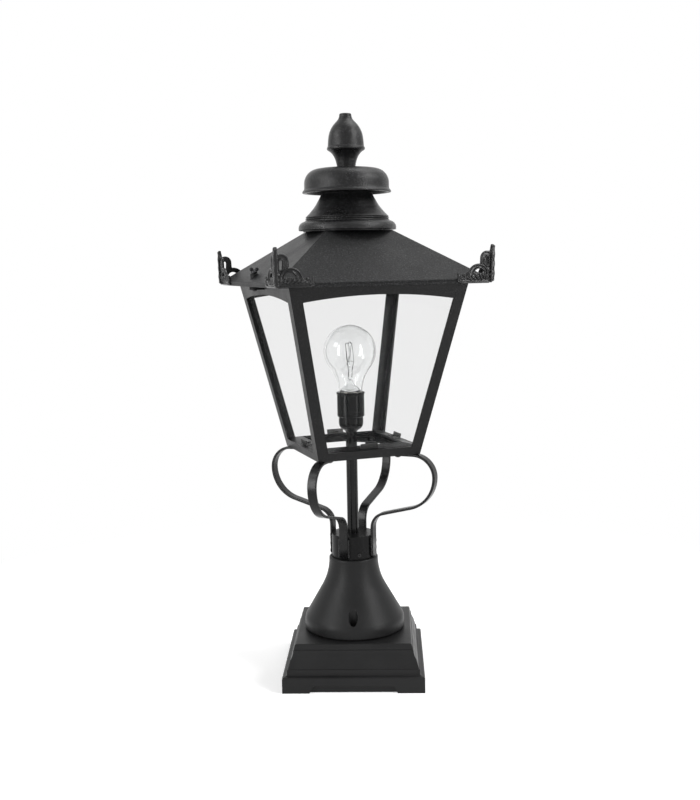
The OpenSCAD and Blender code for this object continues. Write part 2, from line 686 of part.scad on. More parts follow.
// Openings through a wing: the tall slot, the half-moon under the arch, and small eyes.
module leaf_holes() {
  lt = leaf_h - 14.4;
  round_at([7.9, lt - 7], 1.5);
  round_at([8.3, lt - 0.6], 1.5);
  polygon([for (q = [[6.4, lt - 7], [9.4, lt - 7], [9.8, lt - 0.6], [6.8, lt - 0.6]]) leant(q)]);
  intersection() {
    round_at([17.6, 9.4], 6.2);
    translate([10, 10.8]) square([14, 9]);
  }
  round_at([4.5, 11.6], 1.2);
  round_at([4.3, 6.8], 1);
  round_at([33.3 + leaf_l - 43, 8.6], 1.2);
}

// Raised rims round the lobes and the fan of beads under the arch.
module leaf_relief() {
  lt = leaf_h - 14.4;
  linear_extrude(height = leaf_rim) difference() {
    round_at([9.3, lt], 7.2);
    round_at([9.1, lt - 0.3], 5.6);
    translate([-14, -10]) square([44, lt + 8]);
  }
  linear_extrude(height = leaf_rim) difference() {
    round_at([18.5, 8.5], 12.3);
    round_at([18.3, 8.3], 10.6);
    translate([-14, -10]) square([74, 19]);
    translate([-14, -10]) square([20, 40]);
  }
  linear_extrude(height = leaf_rim * 0.8) difference() {
    round_at([17.6, 9.4], 7.6);
    round_at([17.6, 9.4], 6.2);
    translate([-14, -10]) square([74, 20]);
  }
  for (q = [[12.4, 8], [17, 7.4], [21.4, 6.6]]) translate(concat(leant(q), [-0.4]))
    intersection() {
      sphere(r = 1.6, $fn = 32);
      cylinder(h = 4, r = 3, $fn = fn);
    }
}

// Corner leaf: two pierced wings cast as one, leaning out a little, that meet in a spine beyond the
// corner of the eaves.
module leaf_at(a) color("#2d2e2f") head() rotate([0, 0, a - 45]) difference() {
  leaf_casting();
  roof_block();
}
module leaf_casting() {
  c = he - lip_set;
  o = he + leaf_over;
  for (m = [0, 1]) mirror([m, -m, 0]) translate([c, o, z_roof]) rotate([0, leaf_lean, 0])
    rotate([90, 0, 90]) mirror([1, 0, 0]) {
      linear_extrude(height = leaf_t) difference() {
        leaf_outline();
        leaf_holes();
      }
      translate([0, 0, leaf_t]) leaf_relief();
    }
  translate([c, c, z_roof]) rotate(a = leaf_lean * 1.4, v = [-1, 1, 0]) linear_extrude(height = leaf_h - 12)
    polygon([[0, 0], [o - c, 0], [o - c, o - c - 1.4], [o - c - 1.4, o - c], [0, o - c]]);
}
module leaf_front() leaf_at(post_names[0]);
module leaf_right() leaf_at(post_names[1]);
module leaf_back() leaf_at(post_names[2]);
module leaf_left() leaf_at(post_names[3]);

// Fixed halves of the two hinges: a plate on the right top rail with the middle knuckle.
module hinge_frame_leaves() color("#2b2c2d") for (s = [-1, 1]) difference() {
  union() {
    translate([0, s * hinge_at, 0]) on_face() translate([0, -hinge_l / 2, (hinge_z - 8 - z_frame) / cos(tilt)])
      cube([hinge_t, hinge_l, 8 / cos(tilt)]);
    translate([hinge_x, s * hinge_at - hinge_l / 6, hinge_z]) rotate([-90, 0, 0])
      cylinder(h = hinge_l / 3, d = knuckle_d, $fn = fn);
    translate([hinge_x - knuckle_d / 2 - knuckle_gap - 0.8, s * hinge_at - hinge_l / 6, hinge_z - knuckle_d / 2])
      cube([knuckle_d / 2 + 0.8, hinge_l / 3, knuckle_d / 2]);
  }
  translate([hinge_x, s * hinge_at - hinge_l, hinge_z]) rotate([-90, 0, 0]) cylinder(h = 2 * hinge_l, d = pin_d, $fn = fn);
}

// Moving halves: a plate under the eave with the two outer knuckles.
module hinge_roof_leaves() color("#2b2c2d") for (s = [-1, 1]) difference() {
  union() for (e = [-1, 1]) {
    y0 = s * hinge_at + e * (hinge_l / 3 + knuckle_gap / 2) - hinge_l / 6 + knuckle_gap / 2;
    translate([hinge_x, y0, hinge_z]) rotate([-90, 0, 0]) cylinder(h = hinge_l / 3 - knuckle_gap, d = knuckle_d, $fn = fn);
    translate([hinge_x, y0, hinge_z + 1]) cube([he - roof_t - 2 - hinge_x, hinge_l / 3 - knuckle_gap, z_roof - hinge_z - 1]);
  }
  translate([hinge_x, s * hinge_at - hinge_l, hinge_z]) rotate([-90, 0, 0])
    cylinder(h = 2 * hinge_l, d = pin_d + 2 * pin_gap, $fn = fn);
}

// Hinge pins, tight in the middle knuckles.
module hinge_pins() color("#8c8d8a") for (s = [-1, 1])
  translate([hinge_x, s * hinge_at - hinge_l / 2 - 1.5, hinge_z]) rotate([-90, 0, 0])
    cylinder(h = hinge_l + 3, d = pin_d, $fn = fn);

// Lug on the left top rail that the thumb screw enters. The thread is drawn as a plain hole.
module lock_lug() color("#2a2b2c") {
  zl = z_frame_top - lug_t - seat_gap / 2;
  difference() {
    intersection() {
      translate([-thumb_x - 6, -6, zl]) cube([thumb_x, 12, lug_t]);
      union() {
        translate([-thumb_x, 0, zl - 1]) cylinder(h = lug_t + 2, r = 6, $fn = fn);
        translate([-thumb_x, -6, zl - 1]) cube([thumb_x, 12, lug_t + 2]);
      }
    }
    frustum(zl - 1, face_half(zl - 1), zl + lug_t + 1, face_half(zl + lug_t + 1));
    translate([-thumb_x, 0, zl - 1]) cylinder(h = 6, d = thumb_d + 1.2, $fn = fn);
  }
}

// Thumb screw with a winged head, down through the roof's bush into the lug.
module thumb_screw() color("#55565a") translate([-thumb_x, 0, 0]) rotate([0, 0, thumb_turn]) {
  zs = z_frame_top - lug_t - 1.8;
  zh = z_lip + thumb_in * tan(pitch) + 3.3;
  difference() {
    translate([0, 0, zs]) cylinder(h = zh + 2 - zs, d = thumb_d, $fn = fn);
  }
  translate([0, 0, zh]) cylinder(h = 2.6, d = thumb_d + 2.4, $fn = fn);
  translate([0, 1, zh + 2]) rotate([90, 0, 0]) linear_extrude(height = 2) {
    translate([-2.6, -1]) square([5.2, 3]);
    for (s = [-1, 1]) translate([s * 3.4, 2.6]) circle(d = 4.6, $fn = fn);
  }
}

// Round cowl: a half-round ring at the foot, two fine grooves, then a concave flare to the neck.
module chimney() color("#2c2d2e") {
  r = cowl_d / 2;
  g = ring_d / 2;
  z1 = 1.3 + ring_h;
  difference() {
    turned(z_top, concat([[0, 0], [g - 5, 0], [g - 5, 1.3]],
      [for (q = [[-0.6, 0], [0, 0.06], [0, 0.33], [-0.5, 0.53], [-1.9, 0.75], [-4, 0.91], [-6.4, 1]])
        [g + q[0], 1.3 + ring_h * q[1]]],
      [[r + 0.7, z1 + 0.4], [r + 0.7, z1 + 1.2], [r - groove, z1 + 1.8], [r + 0.3, z1 + 2.4], [r + 0.3, z1 + 3.2],
      [r - groove, z1 + 3.8], [r, z1 + 4.4]], flare(0), [[0, cowl_h]]));
    cowl_space();
    for (a = post_names) rotate([0, 0, a]) translate([38, 0, z_top - 1]) cylinder(h = 9, d = 4, $fn = fn);
  }
}

// the cowl's slope from over the grooves to its mouth, at a depth inside the outer face
function flare(w) = let (r = cowl_d / 2, n = neck_d / 2, z0 = 6.2 + ring_h)
  [for (q = [[1, 0], [0.77, 0.15], [0.49, 0.373], [0.34, 0.52], [0.22, 0.668], [0.1, 0.81], [0.02, 0.93], [0, 1]])
    [n + (r - n) * q[0] - w * (1 + 0.3 * q[0]), z0 + (cowl_h - z0) * q[1]]];

// the space inside the cowl
module cowl_space() turned(z_top, concat([[0, -1], [vent_d / 2, -1], [vent_d / 2, 2], [cowl_d / 2 - cowl_wall, 2]],
  flare(cowl_wall), [[neck_d / 2 - cowl_wall, cowl_h + 1], [0, cowl_h + 1]]));

// Screws from inside the roof up into the foot of the cowl.
module chimney_screws() color("#77786f") for (a = post_names) rotate([0, 0, a]) translate([38, 0, z_top - roof_t]) {
  cylinder(h = roof_t + 4, d = 4, $fn = fn);
  translate([0, 0, -2.4]) cylinder(h = 2.4, d = 7, $fn = fn);
}

// Flat bar across the neck of the cowl.
module bridge() color("#3a3b3b") difference() {
  intersection() {
    cowl_space();
    translate([-neck_d, -7, z_neck - 8]) cube([2 * neck_d, 14, 3]);
  }
  translate([0, 0, z_neck - 20]) cylinder(h = 30, d = rod_d, $fn = fn);
}

// Rod from the bridge up through the spacer and the cap into the finial.
module tie_rod() color("#8a8b88") translate([0, 0, z_neck - 18]) cylinder(h = z_finial + 18 - z_neck + 18, d = rod_d, $fn = fn);

// Nut under the bridge.
module tie_nut() color("#8a8b88") tube(z_neck - 13, 5, rod_d * 1.9, rod_d);

// Tube that holds the cap up off the bridge.
module cap_spacer() color("#3a3b3b") tube(z_neck - 5, z_finial - cap_wall - z_neck + 5, rod_d + 6, rod_d);

// Spun rain cap, open underneath, over the mouth of the cowl.
module rain_cap() color("#2c2d2e") {
  l = cap_lip_d / 2;
  b = cap_body_d / 2;
  difference() {
    turned(z_cap, concat([[0, 0], [l - 0.5, 0], [l, 0.6], [l, 1.6], [b + 0.6, cap_lip_h - 0.8], [b, cap_lip_h + 0.6]],
      arc(b - 16, cap_h - 17.3, 16, 0, 83, 9), arc(10.5, cap_h - 200, 200, 83.4, 90, 3), [[0, cap_h]]));
    turned(z_cap, concat([[0, -1], [b - cap_wall, -1]], arc(b - 16, cap_h - 17.3, 16 - cap_wall, 0, 83, 9),
      arc(10.5, cap_h - 200, 200 - cap_wall, 83.4, 90, 3), [[0, cap_h - cap_wall]]));
    translate([0, 0, z_cap]) cylinder(h = cap_h + 5, d = rod_d, $fn = fn);
  }
}

// Acorn finial: a concave stem, a sharp projecting ring, and the acorn, widest at its foot and drawn
// in to a short flat-topped neck.
module finial() color("#2c2d2e") {
  s = stem_d / 2;
  g = fin_ring_d / 2;
  a = acorn_d / 2;
  difference() {
    turned(z_finial, [for (q = [[0, 0], [s, 0], [s + 0.3, 2.4], [s + 0.8, 4.9], [s + 1.8, 8.8], [s + 3.6, 12.8],
      [s + 5.7, 15.7], [g - 3.2, 17.7], [g - 0.7, 19.2], [g, 20.2], [g, 21.4], [g - 0.6, 22.4], [a + 0.4, 23],
      [a + 0.2, 24.6], [a, 27], [a - 0.2, 29.5], [a - 0.8, 34.4], [a - 1.4, 37], [a - 2.2, 39.3], [a - 3.3, 41.8],
      [a - 4.6, 44.2], [a - 6.4, 46.7], [a - 8.6, 49.1], [a - 10.3, 50.9], [a - 11.8, 52.6], [a - 12.7, 54.5],
      [a - 13.1, 56], [a - 13.4, 57.9], [a - 13.9, 58.7], [a - 14.6, 59], [0, 59]]) [q[0], q[1] * finial_h / 59]]);
    translate([0, 0, z_finial - 2]) cylinder(h = 22, d = rod_d, $fn = fn);
  }
}

plinth();
bell();
bell_screws();
head() collar();
head() grub_screws();
pole();
head() pole_nut();
arm_front();
arm_right();
arm_back();
arm_left();
head() arm_bolts();
head() bottom_frame();
post_front();
post_right();
post_back();
post_left();
top_rail_front();
top_rail_right();
top_rail_back();
top_rail_left();
glass_front();
glass_right();
glass_back();
glass_left();
head() glass_clips();
head() clip_screws();
holder_body();
holder_cap();
holder_core();
lamp_cap();
bulb_glass();
bulb_stem();
head() filament();
head() roof();
leaf_front();
leaf_right();
leaf_back();
leaf_left();
head() hinge_frame_leaves();
head() hinge_roof_leaves();
head() hinge_pins();
head() lock_lug();
head() thumb_screw();
head() chimney();
head() chimney_screws();
head() bridge();
tie_rod();
tie_nut();
cap_spacer();
rain_cap();
finial();
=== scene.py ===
import math

import bpy
import numpy as np
from mathutils import Matrix, Vector


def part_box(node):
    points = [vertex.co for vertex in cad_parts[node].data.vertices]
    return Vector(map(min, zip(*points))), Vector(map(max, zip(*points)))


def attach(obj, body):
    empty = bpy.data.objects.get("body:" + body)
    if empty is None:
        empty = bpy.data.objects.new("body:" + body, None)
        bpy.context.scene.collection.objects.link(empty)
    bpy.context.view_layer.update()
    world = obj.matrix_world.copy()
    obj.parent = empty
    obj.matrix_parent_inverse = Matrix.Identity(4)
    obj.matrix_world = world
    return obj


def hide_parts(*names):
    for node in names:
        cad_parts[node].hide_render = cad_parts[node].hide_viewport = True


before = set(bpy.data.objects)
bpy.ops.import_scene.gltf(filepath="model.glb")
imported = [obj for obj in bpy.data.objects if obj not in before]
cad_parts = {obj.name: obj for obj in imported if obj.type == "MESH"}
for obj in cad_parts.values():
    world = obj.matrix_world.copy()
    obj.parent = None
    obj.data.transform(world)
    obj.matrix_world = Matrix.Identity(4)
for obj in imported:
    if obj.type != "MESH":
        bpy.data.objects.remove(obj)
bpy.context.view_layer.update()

mm = 0.001

# Plinth: a square stepped casting in black satin paint, open underneath, that stands on four
# corner feet. The paint is sprayed, smooth but not perfectly even.
def brushed_on(part, coat):
    """Puts a finish on every material slot of a part."""
    if not part.material_slots:
        part.data.materials.append(coat)
    for place in part.material_slots:
        place.material = coat


def finish_nodes(coat, *names):
    """Puts one finish on parts of the frame, by their names."""
    for name in names:
        brushed_on(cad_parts[name], coat)


def wire_up(tree, kind, settings=(), links=()):
    """Adds one shader node, sets its sockets by name and links others into it."""
    node = tree.nodes.new("ShaderNode" + kind)
    for key, value in dict(settings).items():
        if isinstance(key, str) and key not in node.inputs:
            setattr(node, key, value)
        else:
            node.inputs[key].default_value = value
    for key, source in dict(links).items():
        tree.links.new(source, node.inputs[key])
    return node


def blank_finish(name):
    """A new material: its own node tree, its surface shader and its Object coordinates."""
    mat = bpy.data.materials.new(name)
    mat.use_nodes = True
    tree = mat.node_tree
    return mat, tree, tree.nodes["Principled BSDF"], wire_up(tree, "TexCoord").outputs["Object"]


def sprayed_paint(name, colour, gloss, grain, relief, cloud=0.18, edge=0.5, shine=0.5, grain_glints=0.0):
    """Paint over metal. Height = fine noise at the grain's size plus half a coarser one. Colour and
    roughness drift with a cloud noise, by the share of cloud and by 0.07 either way. The highest
    grains are painted lighter as painted glints, standing for light caught on the grain, and edges
    are rounded in the shading by edge mm."""
    mat, tree, face, place = blank_finish(name)
    fine = wire_up(tree, "TexNoise", {"Scale": 1 / (grain * mm), "Detail": 3.0, "Roughness": 0.6},
                   {"Vector": place})
    broad = wire_up(tree, "TexNoise", {"Scale": 0.3 / (grain * mm), "Detail": 2.0}, {"Vector": place})
    drift = wire_up(tree, "TexNoise", {"Scale": 28.0, "Detail": 4.0}, {"Vector": place})
    height = wire_up(tree, "Math", {"operation": "MULTIPLY_ADD", 1: 0.5},
                     {0: broad.outputs["Fac"], 2: fine.outputs["Fac"]})
    spread = wire_up(tree, "MapRange", {"From Min": 0.3, "From Max": 0.7},
                     {"Value": drift.outputs["Fac"]})
    dark = [c * (1 - cloud) for c in colour] + [1]
    pale = [c * (1 + cloud) for c in colour] + [1]
    mix = wire_up(tree, "Mix", {"data_type": "RGBA", "blend_type": "MIX"})
    mix.inputs[6].default_value = dark
    mix.inputs[7].default_value = pale
    tree.links.new(spread.outputs["Result"], mix.inputs[0])
    top = mix.outputs[2]
    # Painted glints: the highest fine grains get a colour nine times lighter, standing for light caught on
    # the grain.
    if grain_glints:
        glint_mask = wire_up(tree, "MapRange", {"From Min": 0.52, "From Max": 0.68, "To Max": grain_glints},
                       {"Value": fine.outputs["Fac"]})
        glint_lift = 9.0
        spot = wire_up(tree, "Mix", {"data_type": "RGBA"})
        spot.inputs[7].default_value = [min(1, c * glint_lift) for c in colour] + [1]
        tree.links.new(glint_mask.outputs["Result"], spot.inputs[0])
        tree.links.new(top, spot.inputs[6])
        top = spot.outputs[2]
    tree.links.new(top, face.inputs["Base Color"])
    limits = {"From Min": 0.25, "From Max": 0.75, "To Min": gloss - 0.07, "To Max": gloss + 0.07}
    rough = wire_up(tree, "MapRange", limits, {"Value": drift.outputs["Fac"]})
    tree.links.new(rough.outputs["Result"], face.inputs["Roughness"])
    eased = wire_up(tree, "Bevel", {"Radius": edge * mm, "samples": 4})
    bump = wire_up(tree, "Bump", {"Strength": 1.0, "Distance": relief * mm},
                   {"Height": height.outputs["Value"], "Normal": eased.outputs["Normal"]})
    tree.links.new(bump.outputs["Normal"], face.inputs["Normal"])
    face.inputs["Specular IOR Level"].default_value = shine
    return mat


satin_black = sprayed_paint("satin black on the casting", (0.008, 0.0081, 0.0083), gloss=0.4,
                            grain=1.6, relief=0.1, edge=1.6, shine=0.22)
finish_nodes(satin_black, "plinth")

# Bell: one flared casting bolted down on the plinth, in the same satin paint, a little smoother
# and with sharper edges.
bell_black = sprayed_paint("satin black on the bell", (0.009, 0.0091, 0.0093), gloss=0.42,
                           grain=1.6, relief=0.09, edge=0.9, shine=0.18)
finish_nodes(bell_black, "bell")

# Bell screws: socket cap screws at the bottom of the wells in the bell's foot, in zinc-plated
# steel.
def plated_steel(name, colour, gloss):
    """Plated steel: metal whose roughness drifts with a noise and whose face is finely scratched."""
    mat, tree, face, place = blank_finish(name)
    drift = wire_up(tree, "TexNoise", {"Scale": 260.0, "Detail": 4.0}, {"Vector": place})
    mix = wire_up(tree, "Mix", {"data_type": "RGBA"})
    mix.inputs[6].default_value = [c * 0.75 for c in colour] + [1]
    mix.inputs[7].default_value = list(colour) + [1]
    tree.links.new(drift.outputs["Fac"], mix.inputs[0])
    tree.links.new(mix.outputs[2], face.inputs["Base Color"])
    rough = wire_up(tree, "MapRange", {"To Min": gloss - 0.08, "To Max": gloss + 0.1},
                    {"Value": drift.outputs["Fac"]})
    tree.links.new(rough.outputs["Result"], face.inputs["Roughness"])
    scratch = wire_up(tree, "TexNoise", {"Scale": 3000.0, "Detail": 2.0}, {"Vector": place})
    eased = wire_up(tree, "Bevel", {"Radius": 0.25 * mm, "samples": 4})
    bump = wire_up(tree, "Bump", {"Strength": 0.5, "Distance": 0.02 * mm},
                   {"Height": scratch.outputs["Fac"], "Normal": eased.outputs["Normal"]})
    tree.links.new(bump.outputs["Normal"], face.inputs["Normal"])
    face.inputs["Metallic"].default_value = 1.0
    return mat


zinc = plated_steel("zinc plate", (0.62, 0.62, 0.6), gloss=0.32)
finish_nodes(zinc, "bell_screws")

# Collar: a turned cup over the bell's spigot that the four straps are welded to. Its grub screws
# lock the head against turning.
frame_black = sprayed_paint("semi-gloss black on the frame", (0.004, 0.004, 0.0042), gloss=0.3,
                            grain=1.5, relief=0.12, edge=0.6, shine=0.13, grain_glints=0.15)
finish_nodes(frame_black, "collar")
finish_nodes(plated_steel("blackened grub screws", (0.05, 0.05, 0.05), gloss=0.4), "grub_screws")

# Pole: a drawn steel tube that carries the lamp holder and its cable, locked by a nut. Its paint
# is glossier than the castings'.
pole_black = sprayed_paint("gloss black on the pole", (0.003, 0.003, 0.0032), gloss=0.17,
                           grain=1.6, relief=0.015, edge=0.4, shine=0.28)
finish_nodes(pole_black, "pole")
finish_nodes(zinc, "pole_nut")

# Straps: four flat bars bent cold to a scroll, welded to the collar and bolted under the frame.
# Each starts level under the frame, turns down and in, runs down a slope and ends on the collar.
strap_black = sprayed_paint("satin black on the straps", (0.004, 0.004, 0.0042), gloss=0.26,
                            grain=1.2, relief=0.06, edge=0.8, shine=0.24)
finish_nodes(strap_black, "arm_bolts")


def as_piece(name, points, faces, coat, body):
    """A smooth mesh from points in mm and their faces, in its finish, that rides on a body."""
    mesh = bpy.data.meshes.new(name)
    mesh.from_pydata((points * mm).tolist(), [], faces)
    mesh.polygons.foreach_set("use_smooth", [True] * len(mesh.polygons))
    piece = bpy.data.objects.new(name, mesh)
    bpy.context.scene.collection.objects.link(piece)
    brushed_on(piece, coat)
    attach(piece, body)
    return piece


def skin(name, rings, coat, body, looped=False):
    """A surface from an array of rings of points (rings, points, 3): each cell of the grid is a
    quad and the grid closes round each ring. A looped skin also joins its last ring to its first;
    otherwise the two end rings are filled with one face each."""
    rings = np.asarray(rings, float)
    m, n = rings.shape[:2]
    i, j = np.meshgrid(np.arange(m if looped else m - 1), np.arange(n), indexing="ij")
    k, up = (j + 1) % n, (i + 1) % m
    faces = np.stack([i * n + j, i * n + k, up * n + k, up * n + j], -1).reshape(-1, 4).tolist()
    if not looped:
        faces += [list(range(n - 1, -1, -1)), list(range((m - 1) * n, m * n))]
    piece = as_piece(name, rings.reshape(-1, 3), faces, coat, body)
    piece.data.validate()
    return piece


def arc_points(cx, cz, r, a0, a1, count):
    """Points on a circle: centre plus r times the cosine and sine of angles from a0 to a1 degrees."""
    a = np.radians(np.linspace(a0, a1, count))
    return np.stack([cx + r * np.cos(a), cz + r * np.sin(a)], -1)


def bar_section(wide, thick, round_off):
    """A flat bar's section as (across, out) points: a rounded quarter at each corner, with one more
    point a little way along each flat, so that the flats shade as flat."""
    quarter = arc_points(0, 0, round_off, 0, 90, 4)
    quarter = np.concatenate([[[round_off, -round_off]], quarter, [[-round_off, round_off]]])
    x, y = quarter[:, 0] + wide / 2 - round_off, quarter[:, 1] + thick / 2 - round_off
    half = np.concatenate([np.stack([x, y], -1), np.stack([-x, y], -1)[::-1]])
    return np.concatenate([half, -half])


def strap(side_view, section, angle):
    """Carries a section along a side view of (radius, height) points: each ring is square to the
    line there, and the whole strap is turned round Z."""
    way = np.gradient(side_view, axis=0)
    way /= np.linalg.norm(way, axis=1)[:, None]
    out = np.stack([-way[:, 1], way[:, 0]], -1)
    radial = side_view[:, None, 0] + out[:, None, 0] * section[None, :, 1]
    height = side_view[:, None, 1] + out[:, None, 1] * section[None, :, 1]
    across = np.broadcast_to(section[None, :, 0], radial.shape)
    cosine, sine = math.cos(math.radians(angle)), math.sin(math.radians(angle))
    return np.stack([cosine * radial - sine * across, sine * radial + cosine * across, height], -1)


strap_wide, strap_thick, strap_round = 10.5, 3.0, 0.6
frame_foot, strap_foot, strap_reach, strap_end = 262, 138, 104, 50
top_bend, low_bend, in_bend, fall = 24.5, 38.0, 18.0, 15.0
collar_r = 25
fall_cos, fall_sin = math.cos(math.radians(fall)), math.sin(math.radians(fall))
under_frame, reach = frame_foot - strap_thick / 2, strap_reach - strap_thick / 2
collar_flat = math.sqrt(collar_r ** 2 - (strap_wide / 2) ** 2)
low_x, bend_z = reach - low_bend, under_frame - top_bend
foot_x = collar_flat + strap_thick / 2 + in_bend
leave = low_x + low_bend * fall_sin, bend_z - low_bend * fall_cos
run_in = (leave[0] - foot_x + in_bend * fall_sin) / fall_cos
foot_z = leave[1] - run_in * fall_sin - in_bend * fall_cos
side_view = np.concatenate([
    np.stack([np.linspace(strap_end, reach - top_bend, 6)[:-1], np.full(5, under_frame)], -1),
    arc_points(reach - top_bend, bend_z, top_bend, 90, 0, 28),
    arc_points(low_x, bend_z, low_bend, 0, fall - 90, 30)[1:],
    arc_points(foot_x, foot_z, in_bend, 90 + fall, 180, 24),
    [[foot_x - in_bend, foot_z - 0.3 * (foot_z - strap_foot)], [foot_x - in_bend, strap_foot]]])
head_turn = 22
corners = {"front": 225, "right": -45, "back": 45, "left": 135}
flat_bar = bar_section(strap_wide, strap_thick, strap_round)
for side, corner in corners.items():
    bent = skin("strap_" + side, strap(side_view, flat_bar, head_turn + corner), strap_black, "head")
    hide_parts("arm_" + side)

# Weld beads: one up each edge of a strap's foot, where it lies in its flat on the collar. Each
# swells and wanders a little, as a bead laid by hand does.
def rod_along(path, thick, sides=8, wobble=1.0):
    """Rings of a round rod along a path: a ring's plane is square to the path. Its first axis is
    the cross product of the path's way with a fixed arrow that the path never runs along."""
    path = np.asarray(path, float)
    way = np.gradient(path, axis=0)
    way /= np.linalg.norm(way, axis=1)[:, None]
    arrow = np.eye(3)[np.argmin(np.abs(way).max(0))]
    across = np.cross(way, arrow)
    across /= np.linalg.norm(across, axis=1)[:, None]
    other = np.cross(way, across)
    a = np.linspace(0, 2 * math.pi, sides, endpoint=False)[None, :, None]
    r = np.broadcast_to(thick * np.asarray(wobble), len(path))[:, None, None]
    return path[:, None] + r * (np.cos(a) * across[:, None] + np.sin(a) * other[:, None])


def weld_up(name, parts, coat, body):
    """Joins several ring grids in one mesh: each grid becomes quads with both ends filled."""
    points, faces, start = [], [], 0
    for rings in parts:
        m, n = rings.shape[:2]
        i, j = np.meshgrid(np.arange(m - 1), np.arange(n), indexing="ij")
        k = (j + 1) % n
        quads = np.stack([i * n + j, i * n + k, (i + 1) * n + k, (i + 1) * n + j], -1)
        faces += [tuple(q) for q in (quads.reshape(-1, 4) + start).tolist()]
        faces.append(tuple(range(start + n - 1, start - 1, -1)))
        faces.append(tuple(range(start + (m - 1) * n, start + m * n)))
        points.append(rings.reshape(-1, 3))
        start += m * n
    return as_piece(name, np.concatenate(points), faces, coat, body)


beads = []
bead_foot, bead_top, bead_r = 140, 161.5, 1.15
climb = np.linspace(bead_foot, bead_top, 90)
ripple = 1 + 0.16 * np.abs(np.sin(climb * 2.1)) + 0.07 * np.sin(climb * 0.9)
for corner in corners.values():
    a = math.radians(head_turn + corner)
    for edge in (-1, 1):
        x = collar_flat + 1.3 + 0.15 * np.sin(climb * 0.7 + corner)
        y = edge * (strap_wide / 2 + 0.55) + 0.12 * np.sin(climb * 1.3)
        line = np.stack([x * math.cos(a) - y * math.sin(a), x * math.sin(a) + y * math.cos(a), climb], -1)
        beads.append(rod_along(line, bead_r, 10, ripple))
weld_up("weld_beads", beads, strap_black, "head")

# Lantern frame: a ring of angle, four corner posts and four arched top rails, welded and sprayed
# with a textured black paint.
hammered_black = sprayed_paint("textured black on the frame", (0.004, 0.004, 0.0042), gloss=0.36,
                               grain=1.5, relief=0.35, edge=0.6, shine=0.22, grain_glints=0.3)
finish_nodes(hammered_black, "bottom_frame")
for side in corners:
    finish_nodes(hammered_black, "post_" + side, "top_rail_" + side)

# Panes: four tapered sheets of clear float glass behind the posts, standing on the ledge. A flat
# pane shifts what is seen through it by too little to show.
def clear_glass(name, colour, bend, gloss=0.0):
    """Clear glass with a very slight waviness in its face."""
    mat, tree, face, place = blank_finish(name)
    wave = wire_up(tree, "TexNoise", {"Scale": 18.0, "Detail": 1.0}, {"Vector": place})
    bump = wire_up(tree, "Bump", {"Strength": 0.2, "Distance": 0.02 * mm},
                   {"Height": wave.outputs["Fac"]})
    tree.links.new(bump.outputs["Normal"], face.inputs["Normal"])
    face.inputs["Base Color"].default_value = list(colour) + [1]
    face.inputs["Transmission Weight"].default_value = 1.0
    face.inputs["Roughness"].default_value = gloss
    face.inputs["IOR"].default_value = bend
    return mat


def thin_glass(name, colour, film):
    """A flat pane: it lets light and lamps straight through, apart from a film of its own colour
    that carries the sheen, because a plane sheet bends nothing."""
    mat = clear_glass(name, colour, 1.45, 0.03)
    face = mat.node_tree.nodes["Principled BSDF"]
    face.inputs["Transmission Weight"].default_value = 0.0
    face.inputs["Alpha"].default_value = film
    return mat


float_glass = thin_glass("float glass", (0.1, 0.105, 0.105), film=0.05)
for side in corners:
    finish_nodes(float_glass, "glass_" + side)

# Clips and their screws, which hold the panes' feet: bent plated tabs on the ledge, dull with
# age.
dull_zinc = plated_steel("dull zinc on the clips", (0.1, 0.1, 0.098), gloss=0.45)
finish_nodes(dull_zinc, "glass_clips")
finish_nodes(strap_black, "clip_screws")

# Lamp holder: a glossy black moulding in two halves on the pole, with a core of glazed ceramic
# inside.
holder_black = sprayed_paint("glossy black moulding", (0.001, 0.001, 0.0011), gloss=0.08,
                             grain=6.0, relief=0.004, edge=0.5, shine=0.12)
finish_nodes(holder_black, "holder_body", "holder_cap")
glazed = sprayed_paint("glazed ceramic", (0.72, 0.7, 0.64), gloss=0.25,
                       grain=3.0, relief=0.02, cloud=0.04, edge=0.4)
finish_nodes(glazed, "holder_core")

# Bulb: a clear pear-shaped envelope blown thin, on a nickelled screw cap. The shell is closed at
# its foot, where it is cemented in the cap.
def revolved(profile, around=96):
    """Rings of a profile of (radius, height) carried round the Z axis: x = r cos a, y = r sin a."""
    r, z = np.asarray(profile, float).T
    a = np.linspace(0, 2 * math.pi, around, endpoint=False)
    return np.stack([r[:, None] * np.cos(a), r[:, None] * np.sin(a), z[:, None] + 0 * a], -1)


def pear(ball, neck, foot):
    """Envelope profile: the neck rises straight, turns out on a concave arc and meets the ball
    38 degrees under its middle, where both share a tangent."""
    turn = math.radians(38)
    hollow = (ball * math.cos(turn) - neck) / (1 - math.cos(turn))
    middle = 47.0
    low = middle - (ball + hollow) * math.sin(turn)
    start = 180 - math.degrees(math.asin(max(foot + 0.1 - low, 0) / hollow))
    up = arc_points(neck + hollow, low, hollow, start, 142, 18)
    return np.concatenate([[[neck, foot]], up, arc_points(0, middle, ball, -34, 89, 40)])


bulb_r, neck_r, glass_thick, bulb_foot, bulb_top = 30, 13.5, 0.8, 0.5, 77.0
tip_r = 0.02
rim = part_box("bulb_glass")[0].z / mm - bulb_foot
inner = pear(bulb_r - glass_thick, neck_r - glass_thick, bulb_foot)[::-1]
outer = pear(bulb_r, neck_r, bulb_foot)
shell = np.concatenate([[[tip_r, bulb_top - glass_thick]], inner, outer, [[tip_r, bulb_top]]])
shell[:, 1] += rim
bulb_glass = clear_glass("blown glass", (0.98, 0.985, 0.985), bend=1.42)
envelope = skin("bulb_envelope", revolved(shell), bulb_glass, "head")
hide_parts("bulb_glass")
finish_nodes(plated_steel("nickelled cap", (0.7, 0.68, 0.63), gloss=0.28), "lamp_cap")

